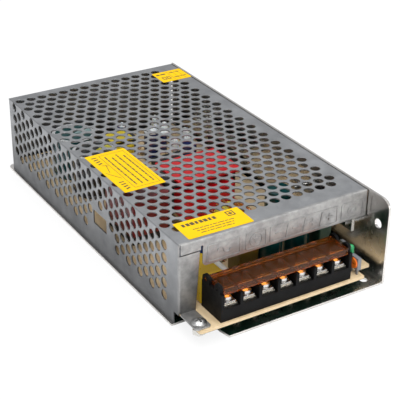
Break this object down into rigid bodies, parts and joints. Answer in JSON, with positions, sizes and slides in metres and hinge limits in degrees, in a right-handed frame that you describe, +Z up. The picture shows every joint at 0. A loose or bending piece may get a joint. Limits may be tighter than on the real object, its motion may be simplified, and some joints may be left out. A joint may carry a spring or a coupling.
{
  "type": "mesh case switching power supply",
  "caption": "Low perforated metal case with an open front shelf, barrier terminals under a hinged clear cover, and a board with its parts.",
  "frame": {"origin": "centre of the base plate, on its underside", "axes": "+Z up, -Y towards the terminals, +X towards the side wall"},
  "size_m": [0.1, 0.194, 0.042],
  "materials": {
    "chassis_metal": "mirror polished sheet",
    "galvanised_sheet": "matt galvanised sheet",
    "board_laminate": "tan paper laminate, green below",
    "clear_film": "clear polyester film",
    "plated_steel": "zinc plated",
    "nickel_screw": "nickel plated",
    "clamp_plate": "nickel plated",
    "tinned_brass": "tinned",
    "black_moulding": "moulded",
    "amber_plastic": "clear amber moulding",
    "green_lens": "tinted diffuse lens",
    "grey_cermet": "moulded",
    "orange_rotor": "moulded",
    "silver_case": "satin",
    "yellow_case": "moulded case",
    "blue_coating": "dipped",
    "fuse_tube": "glazed tube",
    "black_epoxy": "moulded epoxy",
    "ferrite": "ground ferrite",
    "dark_red_tape": "wound tape",
    "red_tape": "wound tape",
    "yellow_tape": "wound tape",
    "brown_tape": "wound tape",
    "bobbin_plastic": "moulded",
    "teal_sleeve": "shrunk sleeve",
    "black_sleeve": "shrunk sleeve",
    "navy_sleeve": "shrunk sleeve",
    "yellow_core": "painted iron powder",
    "copper_wire": "enamelled copper",
    "green_case": "moulded case",
    "resistor_coat": "lacquered",
    "label_paper": "glossy printed sticker"
  },
  "bodies": {
    "case": {"base_chassis": "chassis_metal", "mesh_cover": "galvanised_sheet", "main_board": "board_laminate", "insulating_film": "clear_film", "board_standoffs": "plated_steel", "board_screws": "nickel_screw", "cover_screws": "nickel_screw", "foot_screw": "nickel_screw", "foot_nut": "plated_steel", "terminal_block": "black_moulding", "terminal_contacts": "tinned_brass", "power_lamp": "green_lens", "lamp_leads": "clamp_plate", "trimmer_body": "grey_cermet", "series_diode": "silver_case", "x_capacitor": "yellow_case", "varistor": "blue_coating", "fuse": "fuse_tube", "fuse_clips": "tinned_brass", "bridge_rectifier": "black_epoxy", "thermistor": "black_epoxy", "line_choke_core": "ferrite", "line_choke_winding": "dark_red_tape", "bulk_capacitor_1": "teal_sleeve", "bulk_capacitor_2": "black_sleeve", "driver_transformer_core": "ferrite", "driver_transformer_winding": "yellow_tape", "main_transformer_core": "ferrite", "main_transformer_winding": "red_tape", "main_transformer_bobbin": "bobbin_plastic", "toroid_core": "yellow_core", "toroid_winding": "copper_wire", "output_capacitors": "teal_sleeve", "taped_choke": "brown_tape", "film_capacitor": "green_case", "power_devices": "black_epoxy", "clamp_bars": "plated_steel", "bar_screws": "nickel_screw", "control_chip": "black_epoxy", "small_capacitors": "navy_sleeve", "resistors": "resistor_coat", "label_side": "label_paper", "label_front": "label_paper", "label_rear": "label_paper"},
    "terminal_lid": {"terminal_cover": "amber_plastic"},
    "adjuster": {"trimmer_rotor": "orange_rotor"},
    "clamp_1": {"terminal_clamp_1": "clamp_plate"},
    "screw_1": {"terminal_screw_1": "nickel_screw"},
    "clamp_2": {"terminal_clamp_2": "clamp_plate"},
    "screw_2": {"terminal_screw_2": "nickel_screw"},
    "clamp_3": {"terminal_clamp_3": "clamp_plate"},
    "screw_3": {"terminal_screw_3": "nickel_screw"},
    "clamp_4": {"terminal_clamp_4": "clamp_plate"},
    "screw_4": {"terminal_screw_4": "nickel_screw"},
    "clamp_5": {"terminal_clamp_5": "clamp_plate"},
    "screw_5": {"terminal_screw_5": "nickel_screw"},
    "clamp_6": {"terminal_clamp_6": "clamp_plate"},
    "screw_6": {"terminal_screw_6": "nickel_screw"},
    "clamp_7": {"terminal_clamp_7": "clamp_plate"},
    "screw_7": {"terminal_screw_7": "nickel_screw"}
  },
  "joints": [
    {"name": "lid_hinge", "type": "hinge", "parent": "case", "child": "terminal_lid", "pos_m": [-0.003, -0.08295, 0.0224], "axis": [-1, 0, 0], "range_deg": [0, 80]},
    {"name": "voltage_adjust", "type": "hinge", "parent": "case", "child": "adjuster", "pos_m": [0.0353, -0.0924, 0.0132], "axis": [-1, 0, 0], "range_deg": [-135, 135]},
    {"name": "clamp_1_lift", "type": "slide", "parent": "case", "child": "clamp_1", "axis": [0, 0, 1], "range_m": [0, 0.0015]},
    {"name": "screw_1_turn", "type": "hinge", "parent": "clamp_1", "child": "screw_1", "pos_m": [-0.0315, -0.0911, 0.0168], "axis": [0, 0, 1], "range_deg": [0, 1080]},
    {"name": "clamp_2_lift", "type": "slide", "parent": "case", "child": "clamp_2", "axis": [0, 0, 1], "range_m": [0, 0.0015]},
    {"name": "screw_2_turn", "type": "hinge", "parent": "clamp_2", "child": "screw_2", "pos_m": [-0.022, -0.0911, 0.0168], "axis": [0, 0, 1], "range_deg": [0, 1080]},
    {"name": "clamp_3_lift", "type": "slide", "parent": "case", "child": "clamp_3", "axis": [0, 0, 1], "range_m": [0, 0.0015]},
    {"name": "screw_3_turn", "type": "hinge", "parent": "clamp_3", "child": "screw_3", "pos_m": [-0.0125, -0.0911, 0.0168], "axis": [0, 0, 1], "range_deg": [0, 1080]},
    {"name": "clamp_4_lift", "type": "slide", "parent": "case", "child": "clamp_4", "axis": [0, 0, 1], "range_m": [0, 0.0015]},
    {"name": "screw_4_turn", "type": "hinge", "parent": "clamp_4", "child": "screw_4", "pos_m": [-0.003, -0.0911, 0.0168], "axis": [0, 0, 1], "range_deg": [0, 1080]},
    {"name": "clamp_5_lift", "type": "slide", "parent": "case", "child": "clamp_5", "axis": [0, 0, 1], "range_m": [0, 0.0015]},
    {"name": "screw_5_turn", "type": "hinge", "parent": "clamp_5", "child": "screw_5", "pos_m": [0.0065, -0.0911, 0.0168], "axis": [0, 0, 1], "range_deg": [0, 1080]},
    {"name": "clamp_6_lift", "type": "slide", "parent": "case", "child": "clamp_6", "axis": [0, 0, 1], "range_m": [0, 0.0015]},
    {"name": "screw_6_turn", "type": "hinge", "parent": "clamp_6", "child": "screw_6", "pos_m": [0.016, -0.0911, 0.0168], "axis": [0, 0, 1], "range_deg": [0, 1080]},
    {"name": "clamp_7_lift", "type": "slide", "parent": "case", "child": "clamp_7", "axis": [0, 0, 1], "range_m": [0, 0.0015]},
    {"name": "screw_7_turn", "type": "hinge", "parent": "clamp_7", "child": "screw_7", "pos_m": [0.0255, -0.0911, 0.0168], "axis": [0, 0, 1], "range_deg": [0, 1080]}
  ],
  "couplings": [
    {"joint": "screw_1_turn", "follows": "clamp_1_lift", "rad_per_m": 12566},
    {"joint": "screw_2_turn", "follows": "clamp_2_lift", "rad_per_m": 12566},
    {"joint": "screw_3_turn", "follows": "clamp_3_lift", "rad_per_m": 12566},
    {"joint": "screw_4_turn", "follows": "clamp_4_lift", "rad_per_m": 12566},
    {"joint": "screw_5_turn", "follows": "clamp_5_lift", "rad_per_m": 12566},
    {"joint": "screw_6_turn", "follows": "clamp_6_lift", "rad_per_m": 12566},
    {"joint": "screw_7_turn", "follows": "clamp_7_lift", "rad_per_m": 12566}
  ]
}
